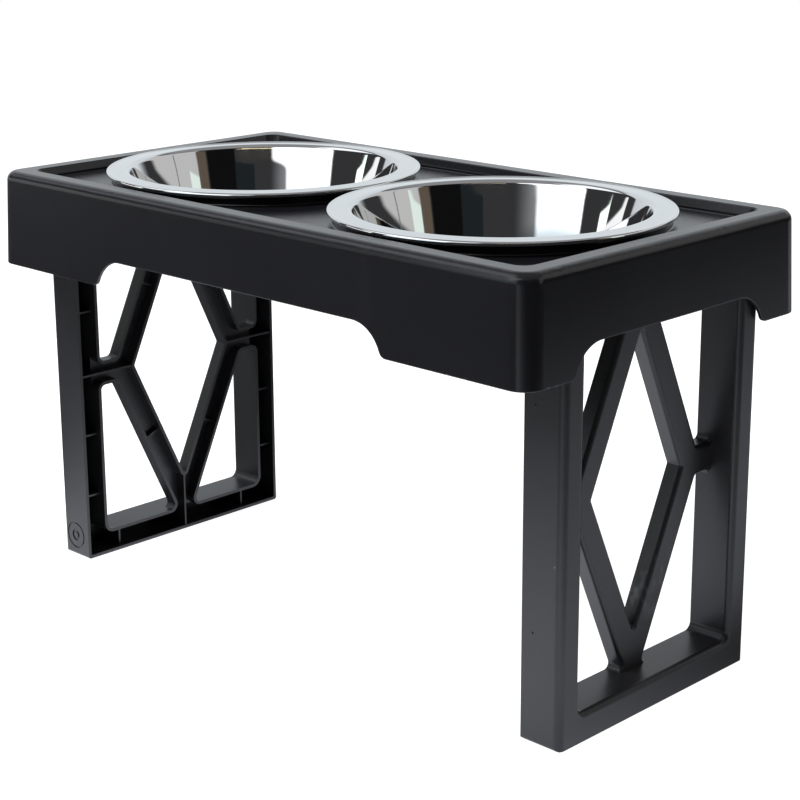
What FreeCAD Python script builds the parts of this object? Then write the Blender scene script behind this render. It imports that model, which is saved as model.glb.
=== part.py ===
"""Elevated dog feeder: a moulded tray on two plug-in leg frames, with two lift-out steel bowls.

Millimetres, +Z up. X runs along the tray and Y from front to back. The origin is on the floor,
under the middle of the tray.
"""
import FreeCAD
import Part
import math
import os

Vector = FreeCAD.Vector
X_WAY = Vector(1, 0, 0)
Y_WAY = Vector(0, 1, 0)
UP = Vector(0, 0, 1)
ORIGIN = Vector(0, 0, 0)

# Bowls: spun sheet steel with a wide flange and a rolled edge
bowl_rim_radius = 114.0
bowl_gap = 3.0
bowl_depth = 58.0
bowl_wall_lean = 17.5
bowl_knee_lean = 6.8
bowl_knee_height_share = 0.5
bowl_knee_round = 360.0
bowl_bottom_round = 16.0
bowl_sheet = 0.8
bead_radius = 1.6
bead_drop = 0.7
flange_width = 14.0
flange_fall = 0.6
bend_round = 3.0

# Tray: one moulding with a deep skirt that stands on four corner feet when the legs are off
deck_end_margin = 7.2
deck_side_margin = 3.7
rim_width = 17.0
rim_round = 6.5
rim_inner_round = 1.0
rim_core_cap = 4.5
skirt_height = 68.0
skirt_taper = 2.3
skirt_corner_radius = 14.0
skirt_edge_round = 0.7
tray_wall = 2.5
deck_thickness = 3.0
deck_recess = 7.0
deck_wall_lean = 2.0
deck_corner_radius = 9.0
ledge_height = 2.0
ledge_width = 3.0
front_foot_length = 116.0
end_foot_length = 42.5
arch_rise = 19.5
arch_slope_degrees = 66.0
arch_round = 26.0
foot_round = 6.0
collar_height = 8.0
collar_round = 3.0
collar_foot_round = 1.5
collar_inset = 1.3
opening_clearance = 1.6
socket_setback = 1.0
stop_rib_height = 3.9
middle_rib_height = 20.0

# Leg frames: moulded channel frames, open towards the middle of the feeder
leg_height = 290.0
leg_width = 194.0
leg_depth = 31.0
leg_wall = 2.5
leg_corner_round = 2.0
leg_edge_round = 5.0
post_width = 19.2
rail_height = 19.0
window_round = 6.0
window_edge_round = 4.0
lattice_depth = 12.0
lattice_edge_round = 3.0
bar_width = 18.8
stub_length = 11.5
stub_height = 19.0
junction_round = 4.0
diamond_corner_round = 1.5
rib_thickness = 1.5
rib_setback = 5.5
tie_rib_setback = 0.8
post_rib_count = 5
rail_rib_share = 0.81
gate_ring_radius = 10.5
gate_ring_groove = 1.2
gate_dimple_radius = 4.5
gate_nub_radius = 2.4
gate_mark_depth = 0.7
gate_mark_height = 16.0
pin_mark_radius = 0.8
pin_mark_depth = 0.5
pin_mark_offset = 72.0
pin_mark_inset = 9.0

# Foot pads: soft rubber buttons in shallow seats under each leg
pad_radius = 6.5
pad_thickness = 2.0
pad_proud = 0.8
pad_edge_round = 0.4
pad_end_inset = 20.0

# Clearances, how far a cut runs past the face it leaves, and how close counts as the same place
fit_gap = 0.3
seat_gap = 0.3
pad_gap = 0.15
overrun = 1.0
match_gap = 0.02

# Heights above the floor, from the pads up
leg_middle_z = pad_proud + leg_height / 2
leg_top_z = pad_proud + leg_height
deck_under_z = leg_top_z + seat_gap + stop_rib_height
deck_z = deck_under_z + deck_thickness
rim_z = deck_z + deck_recess
foot_z = rim_z - skirt_height
arch_z = foot_z + arch_rise
collar_z = deck_z + collar_height

# Plan sizes, from the bowls outwards
bowl_centre_x = bowl_rim_radius + bowl_gap / 2
bead_centre_radius = bowl_rim_radius - bead_radius
bend_radius = bead_centre_radius - flange_width
opening_radius = bend_radius + opening_clearance
collar_radius = bead_centre_radius - bead_radius - collar_inset
deck_half_length = bowl_centre_x + bowl_rim_radius + deck_end_margin
deck_half_width = bowl_rim_radius + deck_side_margin
tray_half_length = deck_half_length + rim_width + skirt_taper
tray_half_width = deck_half_width + rim_width + skirt_taper
leg_outer_x = tray_half_length - skirt_taper - tray_wall - fit_gap
leg_inner_x = leg_outer_x - leg_depth
leg_half_width = leg_width / 2
leg_half_height = leg_height / 2
window_half_width = leg_half_width - post_width
window_half_height = leg_half_height - rail_height
rail_rib_y = window_half_width * rail_rib_share


def rounded_polygon(points, radii):
    """Closed wire through the points, each corner rounded with its own radius; zero keeps it sharp."""
    corners = []
    for index, corner in enumerate(points):
        radius = radii[index]
        back = (points[index - 1] - corner).normalize()
        ahead = (points[(index + 1) % len(points)] - corner).normalize()
        half_angle = back.getAngle(ahead) / 2
        reach = radius / math.tan(half_angle)
        middle = corner + (back + ahead).normalize() * (radius / math.sin(half_angle) - radius)
        corners.append((corner + back * reach, middle, corner + ahead * reach, radius))
    edges = []
    for index, (enter, middle, leave, radius) in enumerate(corners):
        if radius > 0:
            edges.append(Part.Arc(enter, middle, leave).toShape())
        next_enter = corners[(index + 1) % len(corners)][0]
        edges.append(Part.LineSegment(leave, next_enter).toShape())
    return Part.Wire(edges)


def rounded_rectangle(half_length, half_width, radius, z):
    """Rounded rectangle about the Z axis at height z."""
    points = [Vector(half_length, half_width, z), Vector(-half_length, half_width, z),
              Vector(-half_length, -half_width, z), Vector(half_length, -half_width, z)]
    return rounded_polygon(points, [radius] * len(points))


def box_between(low, high):
    """Box from its lowest corner to its highest."""
    size = high - low
    return Part.makeBox(size.x, size.y, size.z, low)


def edges_at_height(shape, z):
    """Edges that lie level at height z."""
    return [edge for edge in shape.Edges
            if abs(edge.BoundBox.ZMin - z) < match_gap and abs(edge.BoundBox.ZMax - z) < match_gap]


def offset_points(points, distance):
    """Moves each run of an open polyline in the XZ plane to its left; corners stay where runs cross."""
    runs = []
    for start, end in zip(points, points[1:]):
        along = (end - start).normalize()
        left = Vector(-along.z, 0, along.x) * distance
        runs.append((start + left, along, end + left))
    moved = [runs[0][0]]
    for (start, along, _), (next_start, next_along, _) in zip(runs, runs[1:]):
        gap = next_start - start
        turn = along.x * next_along.z - along.z * next_along.x
        moved.append(start + along * ((gap.x * next_along.z - gap.z * next_along.x) / turn))
    moved.append(runs[-1][2])
    return moved


def bowl(centre_x):
    """Sheet section turned about the bowl's axis: the wall flares a little above its knee."""
    flange_z = collar_z + seat_gap
    bottom_z = flange_z - bowl_depth
    bottom_radius = bend_radius - bowl_wall_lean
    outside = [
        Vector(0, 0, bottom_z),
        Vector(bottom_radius, 0, bottom_z),
        Vector(bottom_radius + bowl_knee_lean, 0, bottom_z + bowl_depth * bowl_knee_height_share),
        Vector(bend_radius, 0, flange_z + flange_fall),
        Vector(bead_centre_radius, 0, flange_z),
    ]
    inside = offset_points(outside, bowl_sheet)
    outside_radii = [0, bowl_bottom_round, bowl_knee_round, bend_round, 0]
    inside_radii = [0, bowl_bottom_round - bowl_sheet, bowl_knee_round + bowl_sheet,
                    bend_round + bowl_sheet, 0]
    section = Part.Face(rounded_polygon(outside + inside[::-1], outside_radii + inside_radii[::-1]))
    sheet = section.revolve(ORIGIN, UP, 360)
    bead_z = flange_z + bowl_sheet / 2 - bead_drop
    bead = Part.makeTorus(bead_centre_radius, bead_radius, UP * bead_z)
    whole = sheet.fuse(bead).removeSplitter()
    whole.translate(X_WAY * centre_x)
    return whole


def tapered_block(inset, radius, low_z, high_z, solid=True):
    """Block that follows the skirt's taper, drawn in from the skirt's outside by inset."""
    outlines = []
    for z in (low_z, high_z):
        drawn_in = inset + skirt_taper * (z - foot_z) / skirt_height
        half_length = tray_half_length - drawn_in
        half_width = tray_half_width - drawn_in
        outlines.append(rounded_rectangle(half_length, half_width, radius, z))
    return Part.makeLoft(outlines, solid, True)


def deck_pocket():
    """Hollow above the deck: a leaning wall down to a narrow ledge, then a small step to the deck."""
    ledge_z = deck_z + ledge_height
    flare = deck_wall_lean * overrun / (rim_z - ledge_z)
    upper = Part.makeLoft([
        rounded_rectangle(deck_half_length - deck_wall_lean, deck_half_width - deck_wall_lean,
                          deck_corner_radius, ledge_z),
        rounded_rectangle(deck_half_length + flare, deck_half_width + flare,
                          deck_corner_radius, rim_z + overrun),
    ], True, True)
    drawn_in = deck_wall_lean + ledge_width
    floor = rounded_rectangle(deck_half_length - drawn_in, deck_half_width - drawn_in,
                              deck_corner_radius, deck_z)
    lower = Part.Face(floor).extrude(UP * (ledge_height + overrun))
    lower = lower.makeFillet(ledge_height / 2, edges_at_height(lower, deck_z))
    return upper.fuse(lower)


def arch_cutter(half_length, outward, face_distance):
    """Prism that opens the raised arch of one skirt, cut from the skirt's outside inwards."""
    run_per_rise = 1 / math.tan(math.radians(arch_slope_degrees))
    low_half = half_length + overrun * run_per_rise
    high_half = half_length - arch_rise * run_per_rise
    low_z = foot_z - overrun
    points = [Vector(-low_half, 0, low_z), Vector(-high_half, 0, arch_z),
              Vector(high_half, 0, arch_z), Vector(low_half, 0, low_z)]
    face = Part.Face(rounded_polygon(points, [0, arch_round, arch_round, 0]))
    if abs(outward.x) > 0:
        face.rotate(ORIGIN, UP, 90)
    face.translate(outward * (face_distance + overrun))
    return face.extrude(outward * -(tray_wall + skirt_taper + 2 * overrun))


def bowl_seat(centre):
    """Raised collar that the bowl's flange sits on, with a soft foot where it leaves the deck."""
    sunk_z = -deck_thickness / 2
    foot_reach = collar_radius + 2 * collar_foot_round
    points = [
        Vector(0, 0, sunk_z),
        Vector(foot_reach, 0, sunk_z),
        Vector(foot_reach, 0, 0),
        Vector(collar_radius, 0, 0),
        Vector(collar_radius, 0, collar_height),
        Vector(0, 0, collar_height),
    ]
    section = Part.Face(rounded_polygon(points, [0, 0, 0, collar_foot_round, collar_round, 0]))
    seat = section.revolve(ORIGIN, UP, 360)
    seat.translate(centre)
    return seat


def socket_ribs(side):
    """Ribs under the deck at one end: a pocket for the leg's top, and the stops that it bears on."""
    low_z = arch_z + socket_setback
    stop_z = deck_under_z - stop_rib_height
    high_z = deck_under_z + deck_thickness / 2
    near_x = leg_inner_x - fit_gap - tray_wall
    far_x = tray_half_length
    reach_y = leg_half_width + fit_gap
    outer_y = reach_y + tray_wall
    ribs = [
        box_between(Vector(near_x, -outer_y, low_z), Vector(near_x + tray_wall, outer_y, high_z)),
        box_between(Vector(near_x, -outer_y, low_z), Vector(far_x, -reach_y, high_z)),
        box_between(Vector(near_x, reach_y, low_z), Vector(far_x, outer_y, high_z)),
    ]
    for y in (-rail_rib_y, 0, rail_rib_y):
        ribs.append(box_between(Vector(near_x, y - tray_wall / 2, stop_z),
                                Vector(far_x, y + tray_wall / 2, high_z)))
    group = ribs[0].multiFuse(ribs[1:])
    if side < 0:
        group.rotate(ORIGIN, UP, 180)
    return group


def inner_rim_edges(shell):
    """Edges where the rim's flat top turns down towards the deck."""
    found = []
    for edge in edges_at_height(shell, rim_z):
        box = edge.BoundBox
        inside_x = max(-box.XMin, box.XMax) < deck_half_length + match_gap
        inside_y = max(-box.YMin, box.YMax) < deck_half_width + match_gap
        if inside_x and inside_y:
            found.append(edge)
    return found


def foot_corner_edges(shell, half_front, half_end):
    """Short edges across the skirt where an arch's slope reaches the bottom of a foot."""
    found = []
    for edge in edges_at_height(shell, foot_z):
        box = edge.BoundBox
        on_front = abs(max(-box.XMin, box.XMax) - half_front) < match_gap and box.XLength < match_gap
        on_end = abs(max(-box.YMin, box.YMax) - half_end) < match_gap and box.YLength < match_gap
        if on_front or on_end:
            found.append(edge)
    return found


def skirt_foot_edges(shell):
    """Outer bottom edges of the skirt, round the feet and along the arches."""
    skin = tapered_block(0, skirt_corner_radius, foot_z - overrun, rim_z, False)
    found = []
    for edge in shell.Edges:
        if edge.BoundBox.ZMax > arch_z + match_gap:
            continue
        middle = edge.valueAt((edge.FirstParameter + edge.LastParameter) / 2)
        if skin.distToShape(Part.Vertex(middle))[0] < match_gap:
            found.append(edge)
    return found


def tray():
    """Skirted tray with a recessed deck, a seat round each bowl opening and a leg socket at each end."""
    block = tapered_block(0, skirt_corner_radius, foot_z, rim_z)
    block = block.makeFillet(rim_round, edges_at_height(block, rim_z))
    inner_radius = skirt_corner_radius - tray_wall
    hollow = tapered_block(tray_wall, inner_radius, foot_z - overrun, deck_under_z)
    core = tapered_block(tray_wall, inner_radius, deck_under_z - overrun, rim_z - rim_core_cap)
    core_inside = tapered_block(rim_width - tray_wall, deck_corner_radius, deck_under_z - 2 * overrun, rim_z)
    shell = block.cut([hollow, core.cut(core_inside), deck_pocket()])
    shell = shell.makeFillet(rim_inner_round, inner_rim_edges(shell))
    half_front = tray_half_length - front_foot_length
    half_end = tray_half_width - end_foot_length
    for sign in (-1, 1):
        shell = shell.cut(arch_cutter(half_front, Y_WAY * sign, tray_half_width))
        shell = shell.cut(arch_cutter(half_end, X_WAY * sign, tray_half_length))
    shell = shell.makeFillet(foot_round, foot_corner_edges(shell, half_front, half_end))
    shell = shell.makeFillet(skirt_edge_round, skirt_foot_edges(shell))
    middle_rib = box_between(Vector(-tray_wall / 2, -tray_half_width, deck_under_z - middle_rib_height),
                             Vector(tray_wall / 2, tray_half_width, deck_under_z + deck_thickness / 2))
    ribs = [rib.common(block) for rib in (socket_ribs(-1), socket_ribs(1), middle_rib)]
    seats = []
    openings = []
    for sign in (-1, 1):
        centre = Vector(sign * bowl_centre_x, 0, deck_z)
        seats.append(bowl_seat(centre))
        openings.append(Part.makeCylinder(opening_radius, skirt_height, centre - UP * (skirt_height / 2)))
    return shell.multiFuse(ribs + seats).cut(openings).removeSplitter()


def leg_prism(points, radii, depth):
    """Prism from a rounded outline of (y, z) places about a leg's middle, from its open face outwards."""
    corners = [Vector(leg_inner_x, y, leg_middle_z + z) for y, z in points]
    return Part.Face(rounded_polygon(corners, radii)).extrude(X_WAY * depth)


def rectangle_points(half_width, half_height):
    """Corner places of a rectangle about a leg's middle."""
    return [(half_width, half_height), (-half_width, half_height),
            (-half_width, -half_height), (half_width, -half_height)]


def diamond_reach(drawn_in):
    """Half width and half height of the diamond when its sides are drawn in by a distance."""
    half_width = window_half_width - stub_length
    slant = math.hypot(half_width, leg_half_height)
    return half_width - drawn_in * slant / leg_half_height, leg_half_height - drawn_in * slant / half_width


def lattice_windows(grown, depth):
    """The diamond's own window and the four windows round it, each side moved out by grown."""
    hole_width, hole_height = diamond_reach(bar_width - grown)
    tips = [(hole_width, 0), (0, hole_height), (-hole_width, 0), (0, -hole_height)]
    windows = [leg_prism(tips, [diamond_corner_round + grown] * len(tips), depth)]
    side_width, side_height = diamond_reach(grown)
    post_y = window_half_width + grown
    rail_z = window_half_height + grown
    stub_z = stub_height / 2 - grown
    bar_y_at_rail = side_width * (1 - rail_z / side_height)
    bar_y_at_stub = side_width * (1 - stub_z / side_height)
    junction = junction_round + grown
    for sign_y in (-1, 1):
        for sign_z in (-1, 1):
            points = [(post_y, rail_z), (bar_y_at_rail, rail_z), (bar_y_at_stub, stub_z), (post_y, stub_z)]
            placed = [(sign_y * y, sign_z * z) for y, z in points]
            windows.append(leg_prism(placed, [window_round + grown, junction, junction, junction], depth))
    return windows


def edges_on_face(shape, x, half_width, half_height):
    """Edges on the face at x that lie within a half width and half height of a leg's middle."""
    found = []
    for edge in shape.Edges:
        box = edge.BoundBox
        on_face = abs(box.XMin - x) < match_gap and abs(box.XMax - x) < match_gap
        inside_y = max(-box.YMin, box.YMax) < half_width
        inside_z = max(leg_middle_z - box.ZMin, box.ZMax - leg_middle_z) < half_height
        if on_face and inside_y and inside_z:
            found.append(edge)
    return found


def post_block(inset):
    """Upright block with a leg's plan, drawn in by inset: its two outer upright edges are rounded."""
    half_width = leg_half_width - inset
    outer_x = leg_outer_x - inset
    points = [
        Vector(leg_inner_x, half_width, pad_proud),
        Vector(leg_inner_x, -half_width, pad_proud),
        Vector(outer_x, -half_width, pad_proud),
        Vector(outer_x, half_width, pad_proud),
    ]
    edge_round = max(leg_edge_round - inset, 0)
    return Part.Face(rounded_polygon(points, [0, 0, edge_round, edge_round])).extrude(UP * leg_height)


def leg_outside():
    """Solid outside of a leg frame: deep posts and rails, and the shallow lattice at the open face."""
    opening = rectangle_points(window_half_width, window_half_height)
    outline = rectangle_points(leg_half_width, leg_half_height)
    corner_rounds = [leg_corner_round] * len(outline)
    window = leg_prism(opening, [window_round] * len(opening), leg_depth)
    frame = leg_prism(outline, corner_rounds, leg_depth).common(post_block(0)).cut(window)
    window_edges = (window_half_width + match_gap, window_half_height + match_gap)
    frame = frame.makeFillet(window_edge_round, edges_on_face(frame, leg_outer_x, *window_edges))
    plate = leg_prism(outline, corner_rounds, lattice_depth)
    plate = plate.cut(lattice_windows(0, lattice_depth))
    lattice_x = leg_inner_x + lattice_depth
    plate = plate.makeFillet(lattice_edge_round, edges_on_face(plate, lattice_x, *window_edges))
    return frame.fuse(plate)


def leg_channel():
    """Space inside the open channel of a leg frame, one wall in from every outside face."""
    outline = rectangle_points(leg_half_width - leg_wall, leg_half_height - leg_wall)
    corner_rounds = [max(leg_corner_round - leg_wall, 0)] * len(outline)
    opening = rectangle_points(window_half_width + leg_wall, window_half_height + leg_wall)
    opening_rounds = [window_round + leg_wall] * len(opening)
    deep = leg_depth - leg_wall
    shallow = lattice_depth - leg_wall
    frame = leg_prism(outline, corner_rounds, deep).common(post_block(leg_wall))
    frame = frame.cut(leg_prism(opening, opening_rounds, deep))
    plate = leg_prism(outline, corner_rounds, shallow).cut(lattice_windows(leg_wall, shallow))
    return frame.fuse(plate)


def cross_ribs():
    """Thin ribs set well back in the channel: up the posts, along the rails and across each bar."""
    near_x = leg_inner_x + rib_setback
    half = rib_thickness / 2
    ribs = []
    for sign in (-1, 1):
        low_y, high_y = sorted((sign * window_half_width, sign * leg_half_width))
        for step in range(1, post_rib_count + 1):
            z = pad_proud + leg_height * step / (post_rib_count + 1)
            ribs.append(box_between(Vector(near_x, low_y, z - half), Vector(leg_outer_x, high_y, z + half)))
        low_z, high_z = sorted((sign * window_half_height, sign * leg_half_height))
        for y in (-rail_rib_y, rail_rib_y):
            ribs.append(box_between(Vector(near_x, y - half, leg_middle_z + low_z),
                                    Vector(leg_outer_x, y + half, leg_middle_z + high_z)))
        for other_sign in (-1, 1):
            ribs.append(bar_rib(sign, other_sign))
    return ribs


def bar_rib(sign_y, sign_z):
    """Rib square across the middle of one bar of the diamond."""
    reach_y, reach_z = diamond_reach(bar_width / 2)
    middle_y = sign_y * reach_y / 2
    middle_z = sign_z * reach_z / 2
    slant = math.hypot(reach_y, reach_z)
    along_y = sign_y * reach_y / slant * rib_thickness / 2
    along_z = -sign_z * reach_z / slant * rib_thickness / 2
    across_y = sign_y * reach_z / slant * bar_width / 2
    across_z = sign_z * reach_y / slant * bar_width / 2
    points = [(middle_y + side * across_y + end * along_y, middle_z + side * across_z + end * along_z)
              for side, end in ((1, 1), (1, -1), (-1, -1), (-1, 1))]
    rib = leg_prism(points, [0] * len(points), leg_depth)
    rib.translate(X_WAY * rib_setback)
    return rib


def tie_ribs():
    """Ribs nearly flush with the open face: level through both stubs, upright through both tips."""
    near_x = leg_inner_x + tie_rib_setback
    half = rib_thickness / 2
    hole_width, hole_height = diamond_reach(bar_width)
    ribs = []
    for sign in (-1, 1):
        low_y, high_y = sorted((sign * hole_width, sign * leg_half_width))
        ribs.append(box_between(Vector(near_x, low_y, leg_middle_z - half),
                                Vector(leg_outer_x, high_y, leg_middle_z + half)))
        low_z, high_z = sorted((sign * hole_height, sign * leg_half_height))
        ribs.append(box_between(Vector(near_x, -half, leg_middle_z + low_z),
                                Vector(leg_outer_x, half, leg_middle_z + high_z)))
    return ribs


def side_mark_cuts():
    """Moulding marks: a gate ring and its dimple on one side face, two pin dots on the other."""
    middle_x = (leg_inner_x + leg_outer_x) / 2
    gate = Vector(middle_x, leg_half_width, pad_proud + gate_mark_height)
    depth = gate_mark_depth + overrun
    inward = Y_WAY * -1
    start = gate + Y_WAY * overrun
    ring = Part.makeCylinder(gate_ring_radius, depth, start, inward)
    ring = ring.cut(Part.makeCylinder(gate_ring_radius - gate_ring_groove, depth, start, inward))
    dimple = Part.makeCylinder(gate_dimple_radius, depth, start, inward)
    dimple = dimple.cut(Part.makeCylinder(gate_nub_radius, depth, start, inward))
    cuts = [ring, dimple]
    for sign in (-1, 1):
        dot_z = leg_middle_z + sign * pin_mark_offset
        dot = Vector(leg_inner_x + pin_mark_inset, -leg_half_width - overrun, dot_z)
        cuts.append(Part.makeCylinder(pin_mark_radius, pin_mark_depth + overrun, dot, Y_WAY))
    return cuts


def pad_places():
    """Points on the floor under the two pads of the right leg."""
    middle_x = (leg_inner_x + leg_outer_x) / 2
    reach_y = leg_half_width - pad_end_inset
    return [Vector(middle_x, -reach_y, 0), Vector(middle_x, reach_y, 0)]


def leg():
    """Right leg frame; the left one is the same frame turned half round."""
    channel = leg_channel().cut(cross_ribs() + tie_ribs())
    whole = leg_outside().cut([channel] + side_mark_cuts())
    seats = []
    for place in pad_places():
        seats.append(Part.makeCylinder(pad_radius + pad_gap, pad_thickness, place))
    return whole.cut(seats).removeSplitter()


def pad(place):
    """Rubber button with a softened edge where it meets the floor."""
    button = Part.makeCylinder(pad_radius, pad_thickness, place)
    return button.makeFillet(pad_edge_round, edges_at_height(button, 0))


def turned(shape):
    """Copy of a shape turned half round the feeder's middle."""
    copy = shape.copy()
    copy.rotate(ORIGIN, UP, 180)
    return copy


right_leg = leg()
front_pad, back_pad = [pad(place) for place in pad_places()]
nodes = {
    "tray": tray(),
    "bowl_left": bowl(-bowl_centre_x),
    "bowl_right": bowl(bowl_centre_x),
    "leg_frame_left": turned(right_leg),
    "leg_frame_right": right_leg,
    "foot_pad_left_front": turned(back_pad),
    "foot_pad_left_back": turned(front_pad),
    "foot_pad_right_front": front_pad,
    "foot_pad_right_back": back_pad,
}

os.makedirs("parts", exist_ok=True)
for name, shape in nodes.items():
    shape.exportStep("parts/" + name + ".step")
    print(name, shape.isValid(), len(shape.Solids), round(shape.Volume))
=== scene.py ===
"""Looks of the elevated dog feeder: black moulded tray and legs, two mirror polished steel bowls."""
import math
import bpy
import numpy as np
from mathutils import Matrix, Vector


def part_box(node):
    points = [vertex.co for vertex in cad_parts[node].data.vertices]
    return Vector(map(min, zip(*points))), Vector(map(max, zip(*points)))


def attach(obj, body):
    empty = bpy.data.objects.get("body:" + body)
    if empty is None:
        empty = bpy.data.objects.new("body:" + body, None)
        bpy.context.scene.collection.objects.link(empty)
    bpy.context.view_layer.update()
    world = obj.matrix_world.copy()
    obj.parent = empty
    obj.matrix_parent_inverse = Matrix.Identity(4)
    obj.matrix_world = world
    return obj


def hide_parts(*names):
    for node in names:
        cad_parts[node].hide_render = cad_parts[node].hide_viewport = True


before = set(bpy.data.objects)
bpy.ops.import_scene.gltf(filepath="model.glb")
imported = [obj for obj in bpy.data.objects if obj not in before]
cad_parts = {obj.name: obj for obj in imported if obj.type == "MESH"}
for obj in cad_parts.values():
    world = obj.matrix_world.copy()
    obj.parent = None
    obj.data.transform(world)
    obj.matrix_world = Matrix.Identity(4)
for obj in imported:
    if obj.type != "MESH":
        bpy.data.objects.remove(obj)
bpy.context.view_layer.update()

# Leg frames: each is one black moulding, an open channel with posts, rails and a diamond lattice.
# It is pushed up into a socket under the tray's end. The skin has the fine matt grain of its mould,
# a few rub marks and a little dust.


class Shade:
    """One socket of a material's nodes: arithmetic on it adds Math nodes, and node() adds any other."""

    def __init__(self, tree, socket=None):
        self.tree = tree
        self.socket = socket

    def node(self, kind, settings=None, sockets=None, output=0):
        """Adds a node: its settings are set first, then its sockets get values or links."""
        made = self.tree.nodes.new(kind)
        for name, value in (settings or {}).items():
            setattr(made, name, value)
        for name, value in (sockets or {}).items():
            if isinstance(value, Shade):
                self.tree.links.new(value.socket, made.inputs[name])
            else:
                made.inputs[name].default_value = value
        return Shade(self.tree, made.outputs[output] if len(made.outputs) else None)

    def maths(self, operation, *values):
        """A Math node on these values."""
        return self.node("ShaderNodeMath", {"operation": operation}, dict(enumerate(values)))

    def __add__(self, other):
        return self.maths("ADD", self, other)

    def __sub__(self, other):
        return self.maths("SUBTRACT", self, other)

    def __mul__(self, other):
        return self.maths("MULTIPLY", self, other)

    def __radd__(self, other):
        return self.maths("ADD", other, self)

    def __rsub__(self, other):
        return self.maths("SUBTRACT", other, self)

    def __rmul__(self, other):
        return self.maths("MULTIPLY", other, self)

    def rise(self, low, high):
        """0 below low, 1 above high and a smooth step between; low above high turns it round."""
        return self.node("ShaderNodeMapRange", {"interpolation_type": "SMOOTHSTEP"},
                         {"Value": self, "From Min": low, "From Max": high})

    def within(self, low, high, soft):
        """1 between low and high, fading out over soft beyond each."""
        return self.rise(low - soft, low) * self.rise(high + soft, high)

    def noise(self, per_metre, detail=2.0, stretch=(1.0, 1.0, 1.0)):
        """Noise from 0 to 1 on this place, so many lumps to a metre, after stretching the place."""
        place = self.node("ShaderNodeVectorMath", {"operation": "MULTIPLY"}, {0: self, 1: stretch})
        return self.node("ShaderNodeTexNoise", None, {"Vector": place, "Scale": per_metre, "Detail": detail})

    def blend(self, first, second):
        """Colour that goes from first to second as this value goes from 0 to 1."""
        return self.node("ShaderNodeMix", {"data_type": "RGBA"}, {0: self, 6: first, 7: second}, 2)

    def bump(self, strength, distance):
        """Normal of a surface that this value raises, by at most distance in metres."""
        return self.node("ShaderNodeBump", None,
                         {"Strength": strength, "Distance": distance, "Height": self})

    def distance(self, point):
        """How far this place is from a point, in metres."""
        return self.node("ShaderNodeVectorMath", {"operation": "DISTANCE"}, {0: self, 1: point}, "Value")

    def split(self, axes):
        """The named parts of this vector, such as its X and its Y."""
        return [self.node("ShaderNodeSeparateXYZ", None, {0: self}, axis) for axis in axes]


def start_material(name):
    """New material with its principled shader: the material, that shader, and the surface's own place."""
    material = bpy.data.materials.new(name)
    material.use_nodes = True
    tree = material.node_tree
    shader = tree.nodes["Principled BSDF"]
    place = Shade(tree).node("ShaderNodeTexCoord", output="Object")
    return material, shader, place


def feed(shader, **sockets):
    """Links values into a shader's sockets, or sets them; an underscore in a name stands for a space."""
    for name, value in sockets.items():
        socket = shader.inputs[name.replace("_", " ")]
        if isinstance(value, Shade):
            value.tree.links.new(value.socket, socket)
        else:
            socket.default_value = value


def dress(piece, material):
    """Gives a piece one material all over."""
    piece.data.materials.clear()
    piece.data.materials.append(material)


def specks(place, per_metre, size_share, keep_share):
    """Scattered round specks: near the middle of a random share of the cells of a Voronoi pattern."""
    cells = {"Vector": place, "Scale": per_metre}
    near = place.node("ShaderNodeTexVoronoi", None, cells).rise(size_share, 0.4 * size_share)
    chance = place.node("ShaderNodeTexVoronoi", None, cells, "Color")
    drawn = chance.node("ShaderNodeSeparateColor", None, {0: chance})
    return near * drawn.rise(1 - keep_share, 1.001 - keep_share)


def moulded_black(name, deep, pale, roughness, grain_per_metre, smear):
    """Black moulding: cloudy tone, fine mould grain, faint rub marks, dust specks and a chosen smear."""
    dust_colour = (0.16, 0.165, 0.175, 1)
    upright_streak = (1.0, 1.0, 0.12)
    material, shader, place = start_material(name)
    cloud = place.noise(9.0, detail=4.0)
    rubs = place.noise(34.0, detail=5.0, stretch=upright_streak).rise(0.60, 0.78)
    dust = specks(place, per_metre=85.0, size_share=0.055, keep_share=0.16)
    dusty = dust * 0.5 + smear(place)
    tone = (cloud * 0.8 + rubs * 0.35).blend((*deep, 1), (*pale, 1))
    grain = place.noise(grain_per_metre, detail=3.0)
    feed(shader, Base_Color=dusty.blend(tone, dust_colour),
         Roughness=roughness + cloud * 0.08 + rubs * 0.06 + dusty * 0.2,
         Normal=(grain + rubs * 0.15).bump(strength=0.12, distance=0.0003), IOR=1.5)
    return material


def bar_smear(place):
    """Dusty streaks on the lower bars' faces inside the diamond, where a hand has brushed them."""
    smear_middle = (0.226, 0.022, 0.070)
    streaks = place.noise(150.0, detail=4.0, stretch=(1.0, 1.0, 0.45)).rise(0.48, 0.72)
    return place.distance(smear_middle).rise(0.034, 0.008) * streaks * 0.3


# Painted light: these tones are lighter than the tray's same plastic, standing in for light bounced up from the
# floor.
leg_deep_painted_lighter = (0.0060, 0.0061, 0.0070)
leg_pale_painted_lighter = (0.0100, 0.0102, 0.0116)
leg_plastic = moulded_black("leg_plastic", leg_deep_painted_lighter, leg_pale_painted_lighter, roughness=0.30, grain_per_metre=1500.0,
                            smear=bar_smear)
for side in ("left", "right"):
    dress(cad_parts["leg_frame_" + side], leg_plastic)

# Foot pads: round buttons of soft dull rubber, pressed into shallow seats under each leg frame.
# They keep the feeder from sliding on a hard floor.

pad_deep = (0.012, 0.012, 0.012, 1)
pad_pale = (0.030, 0.030, 0.029, 1)
pad_rubber, pad_shader, pad_place = start_material("pad_rubber")
pad_mottle = pad_place.noise(700.0, detail=3.0)
feed(pad_shader, Base_Color=pad_mottle.blend(pad_deep, pad_pale), Roughness=0.72 + pad_mottle * 0.15,
     Normal=pad_mottle.bump(strength=0.25, distance=0.0002))
for node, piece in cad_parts.items():
    if node.startswith("foot_pad"):
        dress(piece, pad_rubber)

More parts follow.
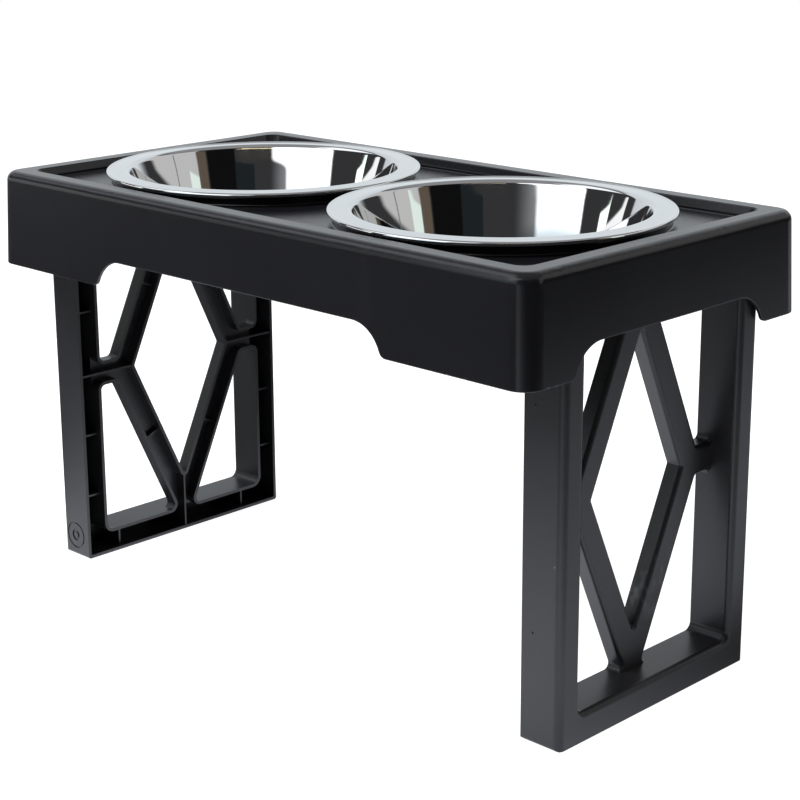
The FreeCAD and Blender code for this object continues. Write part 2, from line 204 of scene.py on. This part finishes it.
# Tray: one black moulding with a flat rim, a recessed deck, a collar under each bowl and a deep skirt.
# It has the same plastic as the legs with a slightly glossier skin, and pale nicks along its lower edge.
# Its tones are darker than the legs' only because the legs' tones are painted lighter, as painted floor light.

tray_low, tray_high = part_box("tray")


def edge_nicks(place):
    """Pale nicks in the skirt's lower edge, most of them by the front right corner."""
    nicked_corner = (tray_high.x - 0.030, tray_low.y, tray_low.z)
    height, = place.split("Z")
    low_edge = height.rise(tray_low.z + 0.0016, tray_low.z + 0.0004)
    nicks = place.noise(330.0).rise(0.62, 0.70)
    return low_edge * place.distance(nicked_corner).rise(0.050, 0.020) * nicks * 1.2


tray_deep = (0.0022, 0.0022, 0.0028)
tray_pale = (0.0044, 0.0045, 0.0056)
tray_plastic = moulded_black("tray_plastic", tray_deep, tray_pale, roughness=0.19, grain_per_metre=1700.0,
                             smear=edge_nicks)
dress(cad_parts["tray"], tray_plastic)

# Bowls: each is spun from one sheet of stainless steel, with a flared wall, a wide flange and a rolled edge.
# The inside is mirror polished. The flange rests on the collar round its opening, so a bowl lifts straight out.

sheet = 0.0008
bead_radius = 0.0016
bead_drop = 0.0007
flange_width = 0.0140
flange_fall = 0.0006
bend_round = 0.0030
wall_lean = 0.0175
knee_lean = 0.0068
knee_height_share = 0.5
knee_round = 0.360
bottom_round = 0.0160
turn_steps = 256
arc_steps = 24
run_steps = 10
bead_steps = 33


def rounded_line(corners, rounds):
    """Points along an open line of corners, with each corner rounded by an arc that touches both its runs."""
    corners = np.asarray(corners, float)
    points = [corners[:1]]
    for index in range(1, len(corners) - 1):
        corner = corners[index]
        back, ahead = corners[index - 1] - corner, corners[index + 1] - corner
        back, ahead = back / np.linalg.norm(back), ahead / np.linalg.norm(ahead)
        half_angle = math.acos(np.clip(back @ ahead, -1, 1)) / 2
        middle_way = (back + ahead) / np.linalg.norm(back + ahead)
        centre = corner + middle_way * rounds[index] / math.sin(half_angle)
        first = corner + back * rounds[index] / math.tan(half_angle) - centre
        last = corner + ahead * rounds[index] / math.tan(half_angle) - centre
        turn = math.pi - 2 * half_angle
        share = np.linspace(0, 1, arc_steps)[:, None]
        arc = (np.sin((1 - share) * turn) * first + np.sin(share * turn) * last) / math.sin(turn)
        points.append(np.linspace(points[-1][-1], centre + first, run_steps)[1:-1])
        points.append(centre + arc)
    points.append(np.linspace(points[-1][-1], corners[-1], run_steps)[1:])
    return np.concatenate(points)


def moved_left(corners, distance):
    """The same open line moved to its left; its corners lie where the moved runs cross."""
    corners = np.asarray(corners, float)
    along = np.diff(corners, axis=0)
    along /= np.linalg.norm(along, axis=1)[:, None]
    left = np.stack([-along[:, 1], along[:, 0]], 1) * distance
    turn = along[:-1, 0] * along[1:, 1] - along[:-1, 1] * along[1:, 0]
    start = corners[1:-1] + left[:-1]
    gap = left[1:] - left[:-1]
    reach = (gap[:, 0] * along[1:, 1] - gap[:, 1] * along[1:, 0]) / turn
    inner = start + along[:-1] * reach[:, None]
    return np.concatenate([corners[:1] + left[:1], inner, corners[-1:] + left[-1:]])


def bowl_section(rim_radius, bottom_z, top_z):
    """Half section of a bowl as (radius, height): underside, rolled edge, then the inside to the middle."""
    bead_centre = np.array([rim_radius - bead_radius, top_z - bead_radius])
    flange_z = bead_centre[1] - sheet / 2 + bead_drop
    bend_radius = bead_centre[0] - flange_width
    depth = flange_z - bottom_z
    under_join = math.asin((bead_drop - sheet / 2) / bead_radius)
    over_join = math.asin((bead_drop + sheet / 2) / bead_radius)
    outside = [
        (0, bottom_z),
        (bend_radius - wall_lean, bottom_z),
        (bend_radius - wall_lean + knee_lean, bottom_z + depth * knee_height_share),
        (bend_radius, flange_z + flange_fall),
        (bead_centre[0] - bead_radius * math.cos(under_join), flange_z),
    ]
    rounds = np.array([0, bottom_round, knee_round, bend_round, 0])
    inside_rounds = rounds + sheet * np.array([0, -1, 1, 1, 0])
    under = rounded_line(outside, rounds)
    over = rounded_line(moved_left(outside, sheet), inside_rounds)[::-1]
    angle = np.linspace(-math.pi - under_join, math.pi - over_join, bead_steps)[1:-1]
    bead = bead_centre + bead_radius * np.stack([np.cos(angle), np.sin(angle)], 1)
    over[-1, 0] = 0
    return np.concatenate([under, bead, over])


def turned_mesh(name, section, centre_x, centre_y):
    """Section turned about an upright axis: rings of turn_steps points and one point at each pole."""
    radius, height = section[1:-1].T
    angle = np.arange(turn_steps) * 2 * math.pi / turn_steps
    rings = np.stack([centre_x + np.outer(radius, np.cos(angle)),
                      centre_y + np.outer(radius, np.sin(angle)),
                      np.repeat(height[:, None], turn_steps, 1)], 2).reshape(-1, 3)
    poles = np.array([[centre_x, centre_y, section[0, 1]], [centre_x, centre_y, section[-1, 1]]])
    here = np.arange(turn_steps)
    after = np.roll(here, -1)
    ring = np.arange(len(radius))[:, None] * turn_steps
    quads = np.stack([ring[:-1] + here, ring[:-1] + after, ring[1:] + after, ring[1:] + here], 2)
    first_fan = np.stack([np.full(turn_steps, len(rings)), after, here], 1)
    last_fan = np.stack([np.full(turn_steps, len(rings) + 1), ring[-1] + here, ring[-1] + after], 1)
    mesh = bpy.data.meshes.new(name)
    mesh.from_pydata(np.concatenate([rings, poles]), [],
                     quads.reshape(-1, 4).tolist() + first_fan.tolist() + last_fan.tolist())
    mesh.shade_smooth()
    return mesh


steel_clean = (0.76, 0.765, 0.77, 1)
steel_smudged = (0.72, 0.725, 0.73, 1)
steel, steel_shader, steel_place = start_material("bowl_steel")
smudge = steel_place.noise(22.0, detail=4.0).rise(0.5, 0.8)
spin_lines = steel_place.noise(900.0, stretch=(0.05, 0.05, 1.0))
ripple = steel_place.noise(16.0, detail=1.0)
feed(steel_shader, Metallic=1.0, Base_Color=smudge.blend(steel_clean, steel_smudged),
     Roughness=0.025 + smudge * 0.03 + spin_lines * 0.02,
     Normal=(ripple + spin_lines * 0.004).bump(strength=0.10, distance=0.0006))

for side in ("left", "right"):
    bowl_low, bowl_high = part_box("bowl_" + side)
    centre = (bowl_low + bowl_high) / 2
    section = bowl_section((bowl_high.x - bowl_low.x) / 2, bowl_low.z, bowl_high.z)
    name = "polished_bowl_" + side
    bowl = bpy.data.objects.new(name, turned_mesh(name, section, centre.x, centre.y))
    bpy.context.scene.collection.objects.link(bowl)
    dress(bowl, steel)
    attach(bowl, "bowl_" + side)
    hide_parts("bowl_" + side)

# Studio floor: a large pale sheet, white to the camera, with a quarter of plain matt paint in it.
# Mirrors see it lit in a pool round the feeder, with two strips of shade in front of the feeder,
# a dim glow far in front and a bright one past the right end.


def flat_sheet(name, corners):
    """One face through four corners, as an object of the scene."""
    mesh = bpy.data.meshes.new(name)
    mesh.from_pydata(corners, [], [(0, 1, 2, 3)])
    made = bpy.data.objects.new(name, mesh)
    bpy.context.scene.collection.objects.link(made)
    return made


def empty_nodes(holder):
    """Clears the nodes of a material or of the world, and starts on them."""
    holder.use_nodes = True
    holder.node_tree.nodes.clear()
    return Shade(holder.node_tree)


floor_half = 4.0
floor_grey = (0.86, 0.86, 0.86, 1)
floor_white = (1.29, 1.29, 1.29, 1)
floor_white_share = 0.75
floor_tint = (0.96, 0.985, 1.08)
pool_east, pool_north = -0.05, -0.12
pool_east_squash = 0.42
pool_level = 1.6
shade_depth = 0.9
shade_soft = 0.07
floor_least = 0.02
front_glow = 0.12
right_glow = 0.95

floor = flat_sheet("floor", floor_half * np.array([[-1, -1, 0], [1, -1, 0], [1, 1, 0], [-1, 1, 0]]))
floor_paint = bpy.data.materials.new("floor_paint")
start = empty_nodes(floor_paint)
seen = start.node("ShaderNodeLightPath", output="Is Camera Ray")
mirrored = start.node("ShaderNodeLightPath", output="Is Glossy Ray")
east, north = start.node("ShaderNodeTexCoord", output="Object").split("XY")
across = east + north
askew = east - north
from_east, from_north = east - pool_east, north - pool_north
away = start.maths("SQRT", from_east * from_east * pool_east_squash + from_north * from_north)
strips = askew.within(0.05, 0.20, shade_soft) + askew.within(-0.55, -0.25, shade_soft)
shade = strips * across.rise(-0.05, -0.35)
pool = away.rise(0.64, 0.06) * across.rise(0.50, 0.0) * (1 - shade * shade_depth) * pool_level
far_front = across.rise(-0.2, -1.2) * front_glow
past_right = east.rise(0.26, 0.36) * east.rise(1.25, 0.20) * right_glow
lit = pool + floor_least + far_front + past_right
lit_colour = start.node("ShaderNodeVectorMath", {"operation": "SCALE"}, {0: floor_tint, "Scale": lit})
matt = start.node("ShaderNodeBsdfDiffuse", None, {"Color": floor_grey})
glow = start.node("ShaderNodeEmission", None, {"Color": seen.blend(lit_colour, floor_white)})
floor_surface = start.node("ShaderNodeMixShader", None,
                           {0: seen * floor_white_share + mirrored, 1: matt, 2: glow})
start.node("ShaderNodeOutputMaterial", None, {"Surface": floor_surface})
dress(floor, floor_paint)

# Studio room: plain walls far away, white where the camera looks. Its strips and dark corners show in the
# bowls' mirror polish, and it lights the feeder a little from all round.

camera_bearing = math.radians(44.480)
camera_rise = math.radians(15.350)

dark_wall = (0.040, 0.040, 0.042, 1)
back_wall = (0.78, 0.83, 0.865, 1)
tube_light = (1.8, 1.5, 0.9)
# Each panel: bearing from and to, height from and to, softness of its edges, all in degrees, and its colour
panels = {
    "ceiling": (-180, 180, 48, 100, 10, (0.30, 0.30, 0.31)),
    "blue_panel": (14, 32, -90, 28.5, 0.5, (0.0155, 0.020, 0.0235)),
    "black_panel": (33, 59, -90, 33, 1.5, (0.006, 0.006, 0.006)),
    "brown_strip": (61.5, 69.5, -90, 27, 1.2, (0.13, 0.10, 0.075)),
    "right_wall": (71.5, 180, 14, 37, 2, (0.62, 0.62, 0.61)),
    "right_strip": (71, 80, -90, 20.6, 0.8, (0.92, 1.05, 0.97)),
    "right_wall_seam": (94.5, 95.3, 12, 26, 0.3, (0.22, 0.22, 0.22)),
    "left_wall": (-180, -133, -90, 33, 3, (0.72, 0.75, 0.78)),
    "left_strip": (-103, -95, -90, 16.0, 0.8, (1.70, 2.00, 1.80)),
    "left_low_screen": (-121, -97, -90, 12.0, 0.8, (1.20, 1.20, 1.20)),
    "left_high_screen": (-122, -70, 35, 56, 8, (1.35, 1.38, 1.45)),
    "long_tube": (-6, 25, 31.25, 31.8, 0.1, tube_light),
    "short_tube": (19, 30, 30.75, 30.95, 0.05, tube_light),
    "left_tube": (-80, -69, 31.0, 31.4, 0.1, tube_light),
}

room = bpy.data.worlds.new("studio_room")
bpy.context.scene.world = room
start = empty_nodes(room)
east, north, upwards = start.node("ShaderNodeTexCoord", output="Generated").split("XYZ")
towards = east * math.sin(camera_bearing) - north * math.cos(camera_bearing)
rightwards = east * math.cos(camera_bearing) + north * math.sin(camera_bearing)
bearing = start.maths("ARCTAN2", rightwards, towards) * math.degrees(1)
height = start.maths("ARCSINE", upwards) * math.degrees(1)
scenery = dark_wall
for bearing_from, bearing_to, height_from, height_to, soft, colour in panels.values():
    mask = bearing.within(bearing_from, bearing_to, soft) * height.within(height_from, height_to, soft)
    scenery = mask.blend(scenery, (*colour, 1))
behind = start.maths("ABSOLUTE", bearing).rise(132, 150) * height.rise(46, 34)
scenery = behind.blend(scenery, back_wall)
seen = start.node("ShaderNodeLightPath", output="Is Camera Ray")
backdrop = start.node("ShaderNodeBackground", None, {"Color": seen.blend(scenery, (1, 1, 1, 1))})
start.node("ShaderNodeOutputWorld", None, {"Surface": backdrop})

# Soft box: an upright sheet of lit cloth in front of the feeder, which mirrors alone show.
# Its cloth is brightest high up, and a faint fringe runs on past its right edge, which leans out at the top.

soft_box_start = np.array([-0.507, -0.867])
soft_box_way = np.array([0.986, 0.165])
soft_box_length = 1.10
soft_box_low, soft_box_high = 0.33, 1.14
soft_box_end = soft_box_start + soft_box_way * soft_box_length
edge_lean = 0.24
fringe_level = 0.14
cloth_low = (0.88, 1.02, 1.08, 1)
cloth_high = (1.9, 1.95, 2.0, 1)

soft_box = flat_sheet("soft_box", [(*soft_box_start, soft_box_low), (*soft_box_end, soft_box_low),
                                   (*soft_box_end, soft_box_high), (*soft_box_start, soft_box_high)])
soft_cloth = bpy.data.materials.new("soft_cloth")
start = empty_nodes(soft_cloth)
mirrored = start.node("ShaderNodeLightPath", output="Is Glossy Ray")
east, north, up = start.node("ShaderNodeTexCoord", output="Object").split("XYZ")
along = (east - soft_box_start[0]) * soft_box_way[0] + (north - soft_box_start[1]) * soft_box_way[1]
edge = along - up.rise(0.74, 0.90) * edge_lean
bright = along.rise(0.0, 0.04) * edge.rise(0.79, 0.71) * up.rise(1.12, 1.02)
fringe = along.rise(1.06, 0.70) * up.rise(1.12, 0.70) * fringe_level
clear = start.node("ShaderNodeBsdfTransparent")
shine = start.node("ShaderNodeEmission", None, {"Color": up.rise(0.53, 0.63).blend(cloth_low, cloth_high)})
cloth_surface = start.node("ShaderNodeMixShader", None,
                           {0: start.maths("MAXIMUM", bright, fringe) * mirrored, 1: clear, 2: shine})
start.node("ShaderNodeOutputMaterial", None, {"Surface": cloth_surface})
dress(soft_box, soft_cloth)

# Lamps: two large square lamps, one above the feeder and one high in front on the left.
# They light the plastic softly, and mirrors don't show them.


def hang_lamp(name, size, watts, place, turn=(0, 0, 0)):
    """Square lamp of this size in metres at a place; unturned, it faces straight down."""
    lamp_data = bpy.data.lights.new(name, "AREA")
    lamp_data.size = size
    lamp_data.energy = watts
    lamp = bpy.data.objects.new(name, lamp_data)
    lamp.location = place
    lamp.rotation_euler = turn
    lamp.visible_glossy = False
    bpy.context.scene.collection.objects.link(lamp)


front_lamp_way = Vector((0.6, 1.1, -1.6))
hang_lamp("top_lamp", size=1.6, watts=40.0, place=(0.0, -0.3, 1.9))
hang_lamp("front_lamp", size=1.2, watts=90.0, place=(-0.6, -1.2, 1.7),
          turn=front_lamp_way.to_track_quat("-Z", "Y").to_euler())

# Camera: a long lens in front of the right corner, looking a little down.
# The small shift puts the optical centre above the picture's middle, as in a cropped picture.

lens = 86.862
camera_distance = 1.3630
camera_roll = math.radians(-0.296)
camera_aim = Vector((0.00982, 0.01263, 0.18175))
picture_shift = -0.05

camera_data = bpy.data.cameras.new("camera")
camera_data.lens = lens
camera_data.shift_y = picture_shift
camera = bpy.data.objects.new("camera", camera_data)
bpy.context.scene.collection.objects.link(camera)
right_way = Vector((math.cos(camera_bearing), math.sin(camera_bearing), 0))
back_way = Vector((math.sin(camera_bearing) * math.cos(camera_rise),
                   -math.cos(camera_bearing) * math.cos(camera_rise), math.sin(camera_rise)))
up_way = back_way.cross(right_way)
turned = Matrix((right_way, up_way, back_way)).transposed() @ Matrix.Rotation(camera_roll, 3, "Z")
camera.matrix_world = Matrix.Translation(camera_aim + back_way * camera_distance) @ turned.to_4x4()
bpy.context.scene.camera = camera
bpy.context.scene.view_settings.view_transform = "Standard"
